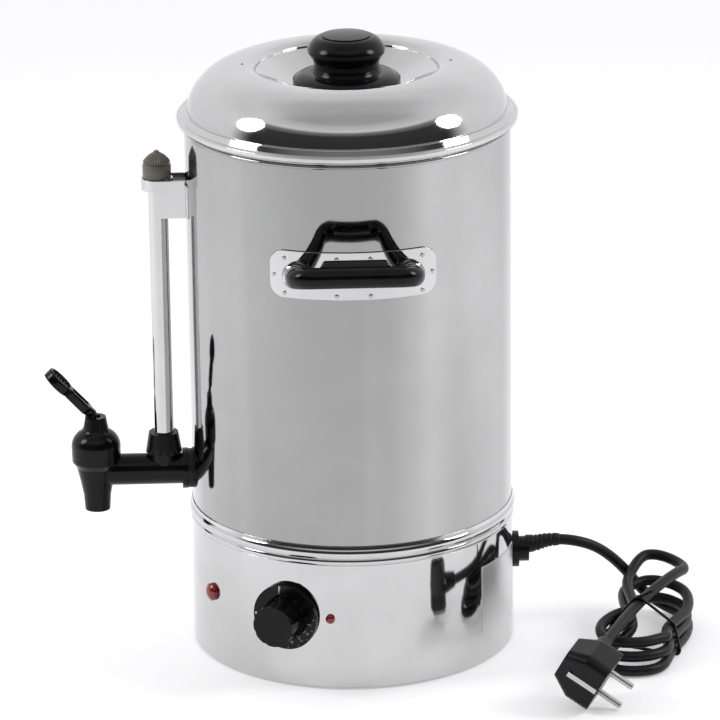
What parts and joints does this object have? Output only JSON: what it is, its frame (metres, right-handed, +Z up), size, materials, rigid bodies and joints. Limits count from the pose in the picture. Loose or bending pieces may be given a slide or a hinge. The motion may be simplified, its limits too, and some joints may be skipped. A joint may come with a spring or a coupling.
{
  "type": "hot water urn",
  "caption": "Electric hot water urn with lift-off domed lid, side handles, sprung lever tap, sight gauge, thermostat dial and mains cord.",
  "frame": {"origin": "on the tank's axis, at the level of the surface that the foot ring rests on", "axes": "+Z up the tank's axis; +X towards the front handle; -Y towards the tap and gauge; +Y towards the mains cord"},
  "size_m": [0.3648, 0.479, 0.4596],
  "materials": {
    "polished_steel": "mirror polished stainless steel",
    "satin_steel": "satin stainless steel",
    "plated_steel": "zinc plated steel",
    "black_plastic": "moulded, semi-gloss",
    "black_matte": "moulded, matt",
    "brown_plastic": "moulded, satin",
    "clear_glass": "clear",
    "red_lens": "clear red",
    "rubber": "black",
    "silicone": "translucent",
    "brass": "turned",
    "nylon": "moulded",
    "spring_steel": "drawn wire",
    "copper_tube": "drawn copper",
    "lead_sheath": "silicone insulated",
    "plate_foil": "plain foil, bare"
  },
  "bodies": {
    "urn": {"base_plate": "plated_steel", "cord_gland": "black_matte", "cord_hank": "rubber", "cord_tie": "black_matte", "cutout_body": "nylon", "earth_stud": "brass", "element_bushes": "brass", "element_gaskets": "silicone", "element_nuts": "brass", "foot_ring": "rubber", "gauge_bracket": "polished_steel", "gauge_cap": "brown_plastic", "gauge_glass": "clear_glass", "gauge_guard": "polished_steel", "gauge_nut": "black_matte", "gauge_seals": "silicone", "gland_nut": "black_matte", "handle_ferrules": "polished_steel", "handle_grips": "black_plastic", "handle_plates": "polished_steel", "handle_studs": "plated_steel", "heating_element": "satin_steel", "heating_lamp": "red_lens", "internal_leads": "lead_sheath", "lamp_bodies": "nylon", "mains_lamp": "red_lens", "plug_body": "black_matte", "plug_contacts": "plated_steel", "power_cord": "rubber", "rating_plate": "plate_foil", "seam_ring": "polished_steel", "skirt": "polished_steel", "tank_floor": "satin_steel", "tank_wall": "satin_steel", "tap_body": "black_plastic", "tap_bonnet": "black_plastic", "tap_bonnet_seal": "silicone", "tap_gaskets": "rubber", "tap_lever_pin": "plated_steel", "tap_lock_nut": "brass", "tap_spring": "spring_steel", "terminal_block": "nylon", "thermostat_body": "nylon", "thermostat_capillary": "copper_tube", "thermostat_screws": "plated_steel", "tie_nuts": "plated_steel", "tie_rods": "plated_steel"},
    "lid": {"lid_shell": "polished_steel", "lid_ring": "satin_steel", "knob_foot": "black_plastic", "knob_grip": "black_plastic", "knob_cap": "black_plastic", "knob_screw": "plated_steel"},
    "lever": {"tap_lever": "black_plastic", "tap_link_pin": "plated_steel"},
    "stem": {"tap_stem": "plated_steel", "tap_seat_cup": "silicone"},
    "dial": {"thermostat_dial": "black_plastic", "thermostat_shaft": "brass"},
    "reset_button": {"cutout_button": "red_lens"}
  },
  "joints": [
    {"name": "lid_lift", "type": "slide", "parent": "urn", "child": "lid", "axis": [0, 0, 1], "range_m": [0, 0.16]},
    {"name": "tap_lever_press", "type": "hinge", "parent": "urn", "child": "lever", "pos_m": [0, -0.193, 0.1685], "axis": [1, 0, 0], "range_deg": [0, 30], "stiffness_Nm_per_rad": 0.25, "springref_deg": -20.05},
    {"name": "tap_stem_lift", "type": "slide", "parent": "urn", "child": "stem", "axis": [0, 0, 1], "range_m": [0, 0.0024], "deforming": ["tap_spring"]},
    {"name": "dial_turn", "type": "hinge", "parent": "urn", "child": "dial", "pos_m": [0.10849, -0.05128, 0.055], "axis": [0.9041, -0.4274, 0], "range_deg": [0, 270]},
    {"name": "reset_press", "type": "slide", "parent": "urn", "child": "reset_button", "axis": [0, 0, 1], "range_m": [0, 0.0015], "stiffness_N_per_m": 400, "springref_m": -0.001}
  ],
  "couplings": [
    {"joint": "tap_stem_lift", "follows": "tap_lever_press", "m_per_rad": 0.0045}
  ]
}
